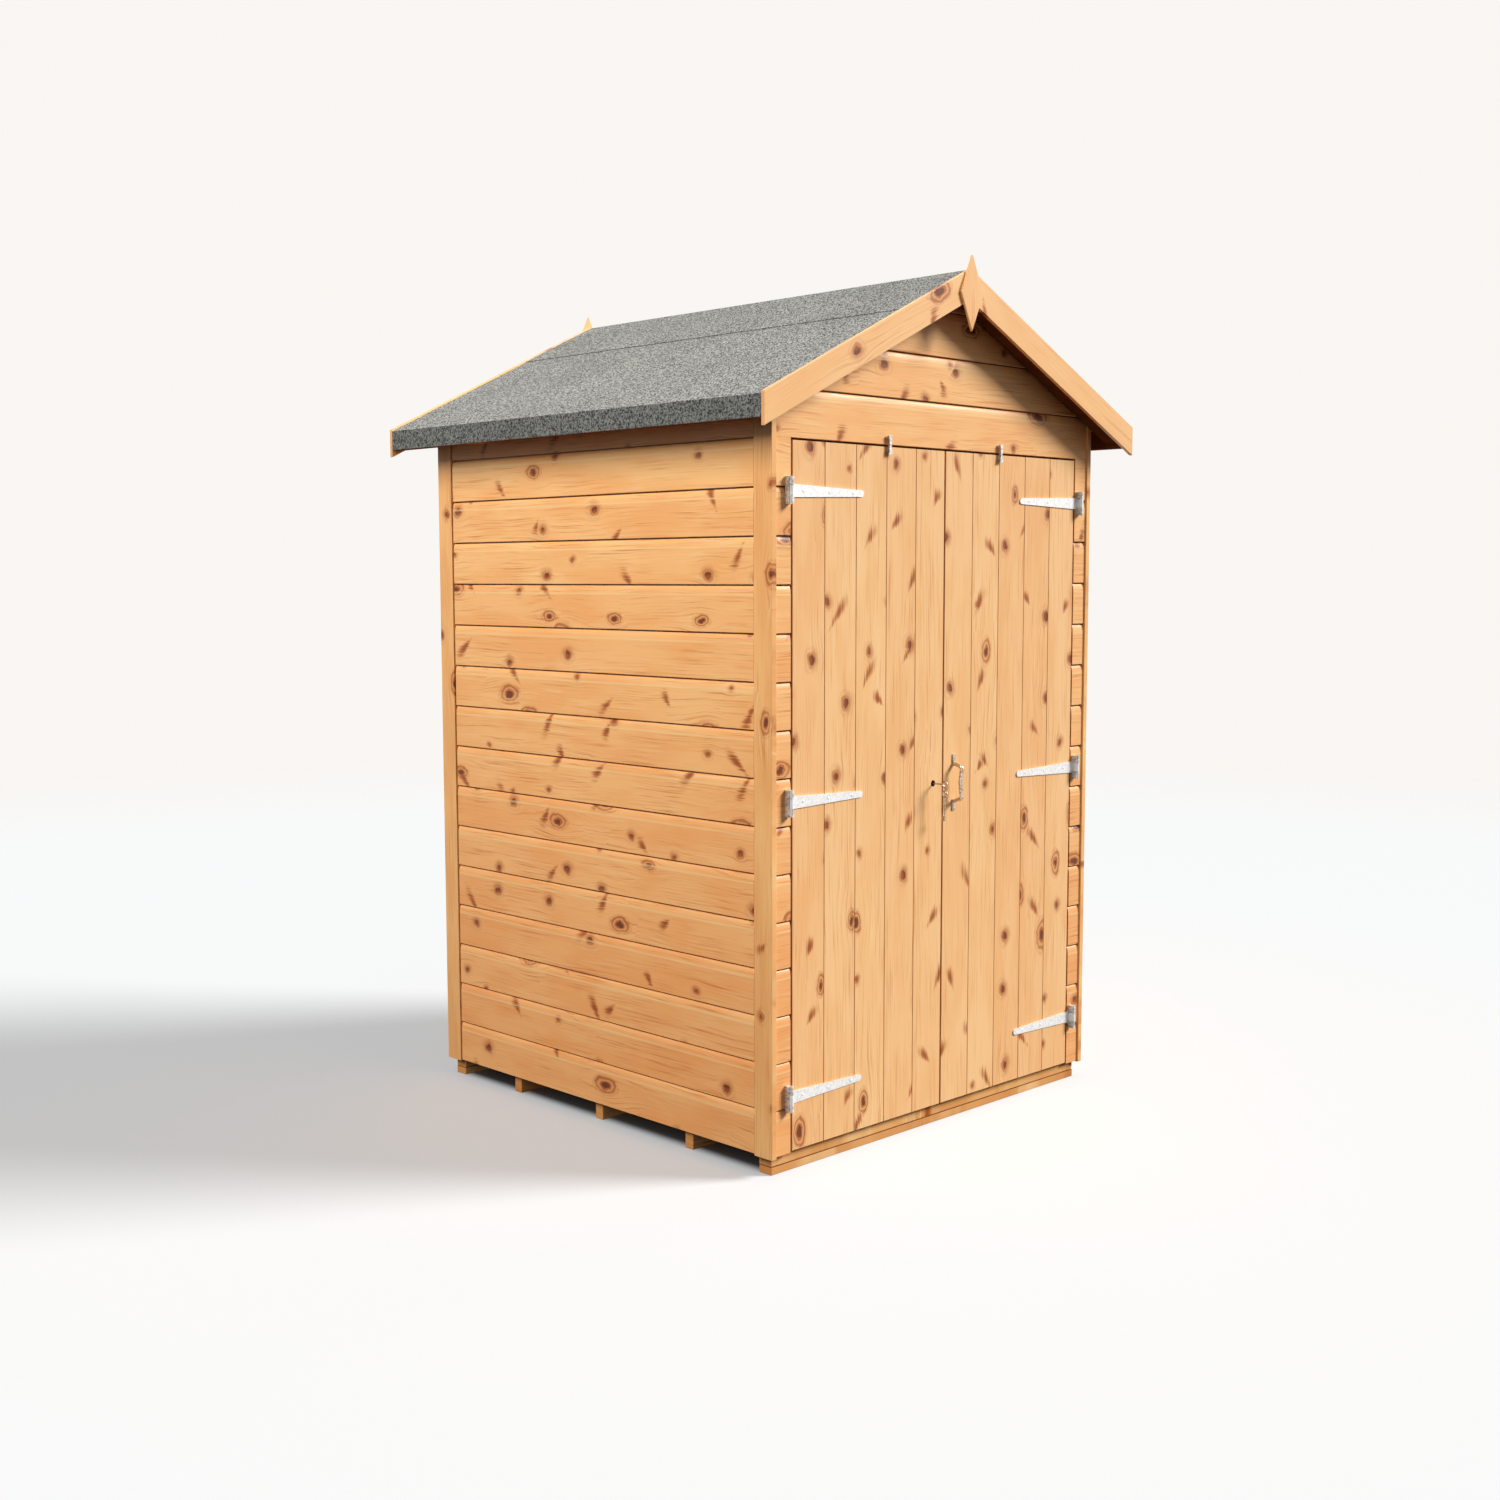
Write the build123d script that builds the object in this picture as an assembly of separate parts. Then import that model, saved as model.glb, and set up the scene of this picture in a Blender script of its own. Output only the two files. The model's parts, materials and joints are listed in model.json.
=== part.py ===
from build123d import *
import math
import os

# Wooden garden shed with double doors and an apex roof.
# Millimetres, +Z up. The doors face -Y. The origin is the centre of the
# plan with its roof, at the underside of the floor bearers.

# Walls
outer_width = 1214.0
outer_depth = 1270.0
cladding_thickness = 12.0
frame_depth = 28.0
frame_face = 44.0
stud_face = 28.0
wall_over_door = 112.5

# Corner strips
strip_width = 58.0
strip_thickness = 15.0
strip_front_lip = 4.0
strip_drop = 3.0

# Base
lower_batten_height = 19.5
packer_height = 26.5
end_bearer_width = 40.0
bearer_width = 28.0
bearer_spacing = 340.0
bearer_end_gap = 1.0
bearer_setback = 14.0
packer_setback = 1.0
floor_thickness = 12.0
floor_front_gap = 5.0

# Doors
door_height = 1638.5
door_thickness = 12.0
front_strip_width = 50.0
door_side_gap = 5.0
door_centre_gap = 3.6
door_bottom_gap = 5.0
door_top_gap = 5.0
ledge_height = 68.0
ledge_thickness = 20.0
ledge_end_inset = 15.0
brace_width = 60.0
brace_inset = 40.0

# Tee hinges
hinge_top_drop = 113.0
hinge_bottom_rise = 128.0
middle_hinge_drop = 9.0
hinge_height = 62.0
barrel_radius = 5.75
barrel_reach = 13.0
barrel_edge_gap = 5.0
pin_radius = 2.0
pin_clearance = 0.1
middle_knuckle_length = 22.0
knuckle_gap = 0.5
plate_thickness = 2.0
plate_gap = 0.5
strap_thickness = 2.5
strap_standoff = 0.3
strap_web = 2.5
strap_length = 254.0
strap_wide = 30.0
strap_narrow = 15.0
strap_neck_gap = 2.0

# Roof
roof_pitch_deg = 25.7
roof_board_thickness = 12.0
felt_thickness = 3.0
eave_overhang = 95.5
front_overhang = 73.7
back_overhang = 94.0
felt_drop = 51.0
eave_batten_width = 28.0
rafter_height = 44.0
verge_batten_height = 31.0
verge_batten_width = 58.0
ridge_strip_reach = 242.0
ridge_strip_thickness = 2.0

# Bargeboards and finials
barge_width = 67.0
barge_thickness = 10.0
barge_rise = 4.4
apex_joint = 1.0
finial_height = 181.0
finial_width = 84.0
finial_thickness = 6.0
finial_tip_rise = 36.0

# Turn buttons
button_height = 44.0
button_width = 12.0
button_waist = 6.0
button_thickness = 6.0
button_standoff = 3.0
button_washer_radius = 4.5
button_overlap = 18.0
button_from_centre = 214.0

# Pull handle
handle_from_centre = 42.0
handle_height = 142.0
handle_base_span = 98.0
handle_grip_span = 78.0
handle_reach = 28.0
handle_bar_radius = 5.0
handle_bend_radius = 8.0
handle_bow = 5.0
handle_foot_width = 11.0
handle_foot_thickness = 3.0

# Lock and keys
lock_from_centre = 37.0
lock_rise = 3.0
cylinder_radius = 8.0
cylinder_clearance = 0.3
cylinder_recess = 1.0
lock_case_width = 62.0
lock_case_height = 50.0
lock_case_thickness = 14.0
key_shank_radius = 2.0
key_shank_length = 32.0
key_bow_radius = 7.0
ring_radius = 8.0
ring_wire_radius = 0.8
ring_slack = 0.2
spare_shank_length = 60.0
spare_bit_length = 12.0
spare_bit_width = 9.0
spare_bit_thickness = 2.0

# Derived levels and places
half_width = outer_width / 2
half_depth = outer_depth / 2
frame_x = half_width - cladding_thickness
frame_y = half_depth - cladding_thickness
inner_x = frame_x - frame_depth
inner_y = frame_y - frame_depth
base_height = lower_batten_height + packer_height
floor_top = base_height + floor_thickness
opening_half = frame_x - front_strip_width
door_bottom = base_height + door_bottom_gap
door_top = door_bottom + door_height
opening_top = door_top + door_top_gap
door_inner_edge = door_centre_gap / 2
door_outer_edge = opening_half - door_side_gap
door_back_y = -half_depth + door_thickness
wall_top = opening_top + wall_over_door
slope = math.tan(math.radians(roof_pitch_deg))
steepness = 1 / math.cos(math.radians(roof_pitch_deg))
roof_front = -half_depth - front_overhang + barge_thickness
roof_back = half_depth + back_overhang - barge_thickness
plan_centre_y = (roof_front + roof_back) / 2
eave_x = half_width + eave_overhang
top_hinge = door_top - hinge_top_drop
bottom_hinge = door_bottom + hinge_bottom_rise
hinge_levels = (top_hinge, (top_hinge + bottom_hinge) / 2 - middle_hinge_drop, bottom_hinge)
handle_level = hinge_levels[1]
lock_level = handle_level + lock_rise
barrel_x = opening_half + barrel_edge_gap + barrel_radius
barrel_y = -half_depth - barrel_reach


def roof_under(x, raised=0.0):
    """Height of the roof boards' underside at x, or of a face raised square to it."""
    return wall_top + (half_width - abs(x)) * slope + raised * steepness


def slab(x_range, y_range, z_range):
    """A box between two x, two y and two z values."""
    size = [high - low for low, high in (x_range, y_range, z_range)]
    centre = [(high + low) / 2 for low, high in (x_range, y_range, z_range)]
    return Pos(*centre) * Box(*size)


def prism_y(points, y_low, y_high):
    """An outline of (x, z) points drawn out along Y."""
    outline = Polyline(*[(x, y_low, z) for x, z in points], close=True)
    return extrude(make_face(outline), amount=y_high - y_low, dir=(0, 1, 0))


def under_roof(x_low, x_high, y_low, y_high, z_low, raised=0.0):
    """An upright piece on one side of the ridge whose top is cut to the roof slope."""
    points = [
        (x_low, z_low),
        (x_high, z_low),
        (x_high, roof_under(x_high, raised)),
        (x_low, roof_under(x_low, raised)),
    ]
    return prism_y(points, y_low, y_high)


def both_sides(piece):
    """The piece and its mirror image across the ridge plane."""
    return [piece, mirror(piece, Plane.YZ)]


def both_ends(piece):
    """The piece and its mirror image from front to back."""
    return [piece, mirror(piece, Plane.XZ)]


def save(name, pieces):
    """Write one node, of one piece or several that do not touch, about the centre of the plan."""
    pieces = pieces if isinstance(pieces, list) else [pieces]
    solids = [Pos(0, -plan_centre_y, 0) * solid for piece in pieces for solid in piece.solids()]
    shape = solids[0] if len(solids) == 1 else Compound(solids)
    export_step(shape, f"parts/{name}.step")


os.makedirs("parts", exist_ok=True)

# Base: bearers across the width, packers on the end ones, and the floor
bearer_x = frame_x - bearer_end_gap
end_front = -half_depth + bearer_setback
end_lower = slab((-bearer_x, bearer_x), (end_front, end_front + end_bearer_width), (0, lower_batten_height))
end_packer = slab(
    (-bearer_x, bearer_x),
    (end_front + packer_setback, end_front + end_bearer_width),
    (lower_batten_height, base_height),
)
middle_bearers = [
    slab((-bearer_x, bearer_x), (y - bearer_width / 2, y + bearer_width / 2), (0, base_height))
    for y in (-bearer_spacing, 0, bearer_spacing)
]
save("floor_bearers", both_ends(end_lower) + middle_bearers)
save("floor_packers", both_ends(end_packer))
save("floor", slab((-frame_x, frame_x), (-frame_y + floor_front_gap, frame_y), (base_height, floor_top)))

# Cladding
strip_y = half_depth + strip_front_lip
clad_y = strip_y - strip_width
side_cladding = under_roof(frame_x, half_width, -clad_y, clad_y, base_height)
save("right_cladding", side_cladding)
save("left_cladding", mirror(side_cladding, Plane.YZ))
gable_top = [(frame_x, roof_under(frame_x)), (0, roof_under(0)), (-frame_x, roof_under(frame_x))]
save(
    "back_cladding",
    prism_y([(-frame_x, base_height), (frame_x, base_height)] + gable_top, frame_y, half_depth),
)
save(
    "front_gable_cladding",
    prism_y([(-frame_x, opening_top), (frame_x, opening_top)] + gable_top, -half_depth, -frame_y),
)
front_strip = slab((opening_half, frame_x), (-half_depth, -frame_y), (base_height, opening_top))
save("front_right_cladding", front_strip)
save("front_left_cladding", mirror(front_strip, Plane.YZ))

# Corner strips
strip = under_roof(frame_x, frame_x + strip_thickness, -strip_y, -clad_y, base_height - strip_drop)
save("front_corner_strips", both_sides(strip))
save("back_corner_strips", both_sides(mirror(strip, Plane.XZ)))

# Wall frames
rail_low = (floor_top, floor_top + stud_face)
plate_bottom = roof_under(frame_x) - frame_face
save("side_bottom_rails", both_sides(slab((inner_x, frame_x), (-inner_y, inner_y), rail_low)))
save("side_top_rails", both_sides(under_roof(inner_x, frame_x, -inner_y, inner_y, plate_bottom)))
stud_places = (-inner_y, -stud_face / 2, inner_y - stud_face)
side_studs = [
    slab((inner_x, frame_x), (y, y + stud_face), (rail_low[1], plate_bottom))
    for y in stud_places
]
save("side_studs", [piece for stud in side_studs for piece in both_sides(stud)])
corner_post = under_roof(opening_half, frame_x, -frame_y, -inner_y, floor_top, -rafter_height)
save("door_posts", both_sides(corner_post))
save("back_posts", both_sides(mirror(corner_post, Plane.XZ)))
head_rail = slab((-opening_half, opening_half), (-frame_y, -inner_y), (opening_top, opening_top + frame_face))
save("door_head_rail", head_rail)
back_low = slab((-opening_half, opening_half), (inner_y, frame_y), rail_low)
save("back_rails", [back_low, mirror(head_rail, Plane.XZ)])
save(
    "back_stud",
    slab((-stud_face / 2, stud_face / 2), (inner_y, frame_y), (rail_low[1], opening_top)),
)


def sloping_timber(x_end, height, y_low, y_high):
    """A timber under one roof slope, from the apex joint down to x_end."""
    points = [
        (apex_joint / 2, roof_under(apex_joint / 2, -height)),
        (x_end, roof_under(x_end, -height)),
        (x_end, roof_under(x_end)),
        (apex_joint / 2, roof_under(apex_joint / 2)),
    ]
    return prism_y(points, y_low, y_high)


rafter = sloping_timber(frame_x, rafter_height, -frame_y, -inner_y)
save("front_rafters", both_sides(rafter))
save("back_rafters", both_sides(mirror(rafter, Plane.XZ)))

# Roof boards, battens under their edges, and felt
board_x = eave_x - felt_thickness
felt_level = roof_board_thickness + felt_thickness
eave_bottom = roof_under(eave_x, felt_level) - felt_drop
roof_points = [
    (0, roof_under(0)),
    (board_x, roof_under(board_x)),
    (board_x, roof_under(board_x, roof_board_thickness)),
    (0, roof_under(0, roof_board_thickness)),
]
roof_panel = prism_y(roof_points, roof_front, roof_back)
save("right_roof_panel", roof_panel)
save("left_roof_panel", mirror(roof_panel, Plane.YZ))
batten_x = board_x - eave_batten_width
eave_batten = under_roof(batten_x, board_x, roof_front, roof_back, eave_bottom)
save("eave_battens", both_sides(eave_batten))
front_verge = sloping_timber(batten_x, verge_batten_height, roof_front, roof_front + verge_batten_width)
back_verge = sloping_timber(batten_x, verge_batten_height, roof_back - verge_batten_width, roof_back)
save("verge_battens", both_sides(front_verge) + both_sides(back_verge))
felt_points = [
    (0, roof_under(0, roof_board_thickness)),
    (board_x, roof_under(board_x, roof_board_thickness)),
    (board_x, eave_bottom),
    (eave_x, eave_bottom),
    (eave_x, roof_under(eave_x, felt_level)),
    (0, roof_under(0, felt_level)),
]
felt = prism_y(felt_points, roof_front, roof_back)
save("right_felt", felt)
save("left_felt", mirror(felt, Plane.YZ))
ridge_points = [
    (0, roof_under(0, felt_level)),
    (ridge_strip_reach, roof_under(ridge_strip_reach, felt_level)),
    (ridge_strip_reach, roof_under(ridge_strip_reach, felt_level + ridge_strip_thickness)),
    (0, roof_under(0, felt_level + ridge_strip_thickness)),
    (-ridge_strip_reach, roof_under(ridge_strip_reach, felt_level + ridge_strip_thickness)),
    (-ridge_strip_reach, roof_under(ridge_strip_reach, felt_level)),
]
save("ridge_felt", prism_y(ridge_points, roof_front, roof_back))

# Bargeboards and finials
barge_top = felt_level + barge_rise / steepness
barge_points = [
    (apex_joint / 2, roof_under(apex_joint / 2, barge_top - barge_width)),
    (eave_x, roof_under(eave_x, barge_top - barge_width)),
    (eave_x, roof_under(eave_x, barge_top)),
    (apex_joint / 2, roof_under(apex_joint / 2, barge_top)),
]
save("front_bargeboards", both_sides(prism_y(barge_points, roof_front - barge_thickness, roof_front)))
save("back_bargeboards", both_sides(prism_y(barge_points, roof_back, roof_back + barge_thickness)))
finial_top = roof_under(0, felt_level) + finial_tip_rise
finial_points = [
    (0, finial_top),
    (finial_width / 2, finial_top - finial_height / 2),
    (0, finial_top - finial_height),
    (-finial_width / 2, finial_top - finial_height / 2),
]
front_face = roof_front - barge_thickness
back_face = roof_back + barge_thickness
save("front_finial", prism_y(finial_points, front_face - finial_thickness, front_face))
save("back_finial", prism_y(finial_points, back_face, back_face + finial_thickness))

# Doors: boards as one panel, with ledges and braces on the inside
panel = slab((door_inner_edge, door_outer_edge), (-half_depth, door_back_y), (door_bottom, door_top))
ledge_y = (door_back_y, door_back_y + ledge_thickness)
ledge_x = (door_inner_edge + ledge_end_inset, door_outer_edge - ledge_end_inset)
ledges = [
    slab(ledge_x, ledge_y, (level - ledge_height / 2, level + ledge_height / 2))
    for level in hinge_levels
]


def brace(upper, lower):
    """A brace that rises from the hinge side to the free side between two ledges."""
    z_low = lower + ledge_height / 2
    z_high = upper - ledge_height / 2
    hinge_end = ledge_x[1] - brace_inset
    free_end = ledge_x[0] + brace_inset
    points = [
        (hinge_end - brace_width, z_low),
        (hinge_end, z_low),
        (free_end + brace_width, z_high),
        (free_end, z_high),
    ]
    return prism_y(points, *ledge_y)


braces = [brace(hinge_levels[0], hinge_levels[1]), brace(hinge_levels[1], hinge_levels[2])]
lock_bore = (
    Pos(-lock_from_centre, -half_depth, lock_level)
    * Rot(90, 0, 0)
    * Cylinder(cylinder_radius + cylinder_clearance, 2 * (door_thickness + ledge_thickness + frame_depth))
)
save("right_door_panel", panel)
save("right_door_ledges", ledges)
save("right_door_braces", braces)
save("left_door_panel", mirror(panel, Plane.YZ) - lock_bore)
save("left_door_ledges", [mirror(ledge, Plane.YZ) - lock_bore for ledge in ledges])
save("left_door_braces", [mirror(piece, Plane.YZ) for piece in braces])

# Tee hinges: the outer knuckles and pin on the wall, the strap and middle knuckle on the door
strap_y = (-half_depth - strap_standoff - strap_thickness, -half_depth - strap_standoff)
hinge_half = hinge_height / 2
knuckle_half = middle_knuckle_length / 2
barrel_side = barrel_x - barrel_radius


def upright(radius, z_low, z_high):
    """A cylinder on the hinge axis."""
    return Pos(barrel_x, barrel_y, (z_low + z_high) / 2) * Cylinder(radius, z_high - z_low)


def hinge_plate(level):
    """The fixed half of a hinge: a plate beside the barrel, the pin and the two outer knuckles."""
    low = (level - hinge_half, level - knuckle_half)
    high = (level + knuckle_half, level + hinge_half)
    plate_side = barrel_x + barrel_radius + plate_gap
    plate_edge = plate_side + plate_thickness
    plate = slab((plate_side, plate_edge), (barrel_y, -half_depth), (low[0], high[1]))
    plate += upright(pin_radius, low[0], high[1])
    for z_range in (low, high):
        plate += slab((barrel_side, plate_edge), (barrel_y, -half_depth), z_range)
        plate += upright(barrel_radius, *z_range)
    return plate


def hinge_strap(level):
    """The tapered half of a hinge, with the middle knuckle on a short web."""
    knuckle = knuckle_half - knuckle_gap
    z_range = (level - knuckle, level + knuckle)
    neck_x = barrel_side - strap_neck_gap
    tip_x = barrel_x - strap_length + strap_narrow / 2
    points = [
        (barrel_side + strap_web, z_range[0]),
        (barrel_side + strap_web, z_range[1]),
        (neck_x, z_range[1]),
        (neck_x, level + strap_wide / 2),
        (tip_x, level + strap_narrow / 2),
        (tip_x, level - strap_narrow / 2),
        (neck_x, level - strap_wide / 2),
        (neck_x, z_range[0]),
    ]
    strap = prism_y(points, *strap_y)
    strap += Pos(tip_x, sum(strap_y) / 2, level) * Rot(90, 0, 0) * Cylinder(strap_narrow / 2, strap_thickness)
    strap += slab((barrel_side, barrel_side + strap_web), (barrel_y, strap_y[1]), z_range)
    strap += upright(barrel_radius, *z_range)
    return strap - upright(pin_radius + pin_clearance, *z_range)


plates = [hinge_plate(level) for level in hinge_levels]
straps = [hinge_strap(level) for level in hinge_levels]
save("right_hinge_plates", plates)
save("right_hinge_straps", straps)
save("left_hinge_plates", [mirror(piece, Plane.YZ) for piece in plates])
save("left_hinge_straps", [mirror(piece, Plane.YZ) for piece in straps])

# Turn buttons over the top edge of the doors
button_low = door_top - button_overlap
button_mid = button_low + button_height / 2
button_points = [
    (button_from_centre - button_width / 2, button_low),
    (button_from_centre + button_width / 2, button_low),
    (button_from_centre + button_waist / 2, button_mid),
    (button_from_centre + button_width / 2, button_low + button_height),
    (button_from_centre - button_width / 2, button_low + button_height),
    (button_from_centre - button_waist / 2, button_mid),
]
button_back = -half_depth - button_standoff
button = prism_y(button_points, button_back - button_thickness, button_back)
button += (
    Pos(button_from_centre, -half_depth - button_standoff / 2, door_top - button_overlap / 2)
    * Rot(90, 0, 0)
    * Cylinder(button_washer_radius, button_standoff)
)
save("right_turn_button", button)
save("left_turn_button", mirror(button, Plane.YZ))

# Pull handle on the right door
handle_out = -half_depth - handle_reach
handle_path = FilletPolyline(
    (handle_from_centre, -half_depth, handle_level + handle_base_span / 2),
    (handle_from_centre, handle_out, handle_level + handle_grip_span / 2),
    (handle_from_centre, handle_out + handle_bow, handle_level),
    (handle_from_centre, handle_out, handle_level - handle_grip_span / 2),
    (handle_from_centre, -half_depth, handle_level - handle_base_span / 2),
    radius=handle_bend_radius,
)
handle_start = Plane(origin=handle_path @ 0, z_dir=handle_path % 0)
handle = sweep(handle_start * Circle(handle_bar_radius), path=handle_path)
foot = slab(
    (handle_from_centre - handle_foot_width / 2, handle_from_centre + handle_foot_width / 2),
    (-half_depth - handle_foot_thickness, -half_depth),
    (handle_level + handle_base_span / 2 - handle_foot_width / 2, handle_level + handle_height / 2),
)
handle += foot
handle += mirror(foot, Plane.XY.offset(handle_level))
behind_door = slab(
    (0, 2 * handle_from_centre),
    (-half_depth, door_back_y),
    (handle_level - handle_height, handle_level + handle_height),
)
save("door_handle", handle - behind_door)

# Rim lock inside the left door, its cylinder through the boards, and the keys
case_y = (ledge_y[1], ledge_y[1] + lock_case_thickness)
case_x = (-ledge_x[0] - lock_case_width, -ledge_x[0])
lock = slab(case_x, case_y, (lock_level - lock_case_height / 2, lock_level + lock_case_height / 2))
cylinder_face = -half_depth + cylinder_recess
lock += (
    Pos(-lock_from_centre, (cylinder_face + case_y[0]) / 2, lock_level)
    * Rot(90, 0, 0)
    * Cylinder(cylinder_radius, case_y[0] - cylinder_face)
)
save("door_lock", lock)


def key_bow(y, z):
    """A ring bow, upright and square to X."""
    return Pos(-lock_from_centre, y, z) * Rot(0, 90, 0) * Torus(key_bow_radius, key_shank_radius)


bow_y = cylinder_face - key_shank_length - key_bow_radius
key = key_bow(bow_y, lock_level)
key += (
    Pos(-lock_from_centre, cylinder_face - key_shank_length / 2, lock_level)
    * Rot(90, 0, 0)
    * Cylinder(key_shank_radius, key_shank_length)
)
save("key", key)

link_gap = key_shank_radius + ring_wire_radius + ring_slack
ring_z = lock_level - key_bow_radius + link_gap - ring_radius
ring = Pos(-lock_from_centre, bow_y, ring_z) * Rot(90, 0, 0) * Torus(ring_radius, ring_wire_radius)
save("key_ring", ring)

spare_z = ring_z - ring_radius + link_gap - key_bow_radius
spare_top = spare_z - key_bow_radius
spare_low = spare_top - spare_shank_length
spare = key_bow(bow_y, spare_z)
spare_middle = Pos(-lock_from_centre, bow_y, (spare_top + spare_low) / 2)
spare += spare_middle * Cylinder(key_shank_radius, spare_shank_length)
spare += slab(
    (-lock_from_centre - spare_bit_thickness / 2, -lock_from_centre + spare_bit_thickness / 2),
    (bow_y, bow_y + spare_bit_width),
    (spare_low, spare_low + spare_bit_length),
)
save("spare_key", spare)
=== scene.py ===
import bmesh
import bpy
import json
import math
import random
from mathutils import Matrix, Vector
from mathutils.geometry import tessellate_polygon

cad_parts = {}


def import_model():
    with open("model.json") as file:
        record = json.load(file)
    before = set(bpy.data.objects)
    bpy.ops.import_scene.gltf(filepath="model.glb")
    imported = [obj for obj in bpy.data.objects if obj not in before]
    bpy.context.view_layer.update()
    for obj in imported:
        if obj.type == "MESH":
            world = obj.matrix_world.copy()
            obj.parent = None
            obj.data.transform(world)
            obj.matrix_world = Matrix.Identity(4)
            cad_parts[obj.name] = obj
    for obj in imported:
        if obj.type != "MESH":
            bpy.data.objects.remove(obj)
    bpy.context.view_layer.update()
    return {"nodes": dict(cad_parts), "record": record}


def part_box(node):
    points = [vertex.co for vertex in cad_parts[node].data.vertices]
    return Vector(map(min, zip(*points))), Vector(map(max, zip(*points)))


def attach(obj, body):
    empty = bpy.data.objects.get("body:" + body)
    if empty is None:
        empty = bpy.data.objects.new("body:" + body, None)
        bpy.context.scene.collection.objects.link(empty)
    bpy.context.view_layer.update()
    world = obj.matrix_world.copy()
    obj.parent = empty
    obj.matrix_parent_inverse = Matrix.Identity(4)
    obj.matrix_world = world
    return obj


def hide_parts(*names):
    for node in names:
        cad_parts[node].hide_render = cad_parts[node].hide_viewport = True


# A wooden garden shed dressed over its CAD frame. Metres, +Z up, doors face -Y.

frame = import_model()
nodes = frame["nodes"]
body_of_node = {n: b for b, ns in frame["record"]["behaviour"]["bodies"].items() for n in ns}
dice = random.Random(12)

MM = 0.001

# Shiplap boards
BOARD_PITCH = 110 * MM
COVE_HEIGHT = 21 * MM
COVE_DEPTH = 5.5 * MM
COVE_STEPS = 6
SLOT_HEIGHT = 3.2 * MM
SLOT_DEPTH = 9 * MM
TONGUE = 6 * MM
LIP_CHAMFER = 0.8 * MM
REBATE_SLACK = 0.3 * MM
DEPTH_JITTER = 0.35 * MM
END_GAP = 3.5 * MM
# Height of the painted highlight band below the edge where each cove meets the flat face
ARRIS_HIGHLIGHT_BAND = 2.5 * MM

# Share of the pitch under which a wall's first board is made one with the next
THIN_BOARD = 0.25

# Board tones from 0 for dark to 1 for pale: painted shade at the foot of a wall and painted light at its top,
# the spread, and plain timber
SHADED_FOOT_TONE, LIT_TOP_TONE = 0.08, 0.85
TONE_SPREAD = 0.16
PLAIN_TONES = (0.40, 0.80)

# Door boards
DOOR_BOARDS = 5
GROOVE = 1.2 * MM
BOARD_GAP = 0.3 * MM
HOLE_RADIUS = 8.3 * MM
HOLE_SIDES = 40

# Floor and roof boards
FLOOR_BOARD = 96 * MM
ROOF_BOARDS = 8
INNER_GAP = 0.8 * MM

# Edge softening on sawn timber, bearers, planed trim and felt
SAWN_EDGE = 1.2 * MM
BEARER_EDGE = 2.0 * MM
PLANED_EDGE = 1.0 * MM
FELT_EDGE = 1.4 * MM
RIDGE_EDGE = 0.6 * MM
EDGE_STEPS = 2
EDGE_PROFILE = 0.6
WELD = 0.001 * MM
FLAT_ANGLE = math.radians(0.5)
SHARP_ANGLE = math.radians(20)

# Painted shade above and below a joint, and limits for an axis square to the grain and a face at a plank's
# end
JOINT_SHADE_REACH = 0.8 * MM
SQUARE_ON = 0.1
END_ON = 0.9

# Screws
SCREW_RADIUS = 3.6 * MM
SCREW_HEIGHT = 0.9 * MM
SCREW_SHARES = (0.16, 0.5, 0.86)
STRAP_THICK = 2.5 * MM
HINGE_SPACE = 100 * MM

# Pine figure: repeats in a metre along and across the grain
SWAY = (2.2, 7.0)
STREAKS = (5.5, 270.0)
THREADS = (4.5, 430.0)
PATCHES = (6.0, 16.0)
BLOTCHES = (3.1, 11.0)
KNOT_CELLS = 6.0
SPIKE_CELLS = 5.6
SPIKE_SHIFT = (9.1, 5.5)

# Knots: smallest and largest sizes, the lean of spike knots in radians, and how far outlines wander
SMALL_KNOT = (5.5 * MM, 11.5 * MM)
RINGED_EYE = (12 * MM, 22 * MM)
EYE_LUCK = 0.74
SPIKE_LENGTH = (18 * MM, 42 * MM)
SPIKE_WIDTH = (4.5 * MM, 16.5 * MM)
SPIKE_LEAN = (0.6, 1.15)
KNOT_SIDE = 8 * MM
WANDER = 16 * MM
WANDER_SCALE = 34.0

# Where in the wood a board may be cut from: along, across and through
GRAIN_SHIFT = (40, 40, 4)


# Node graphs

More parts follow.
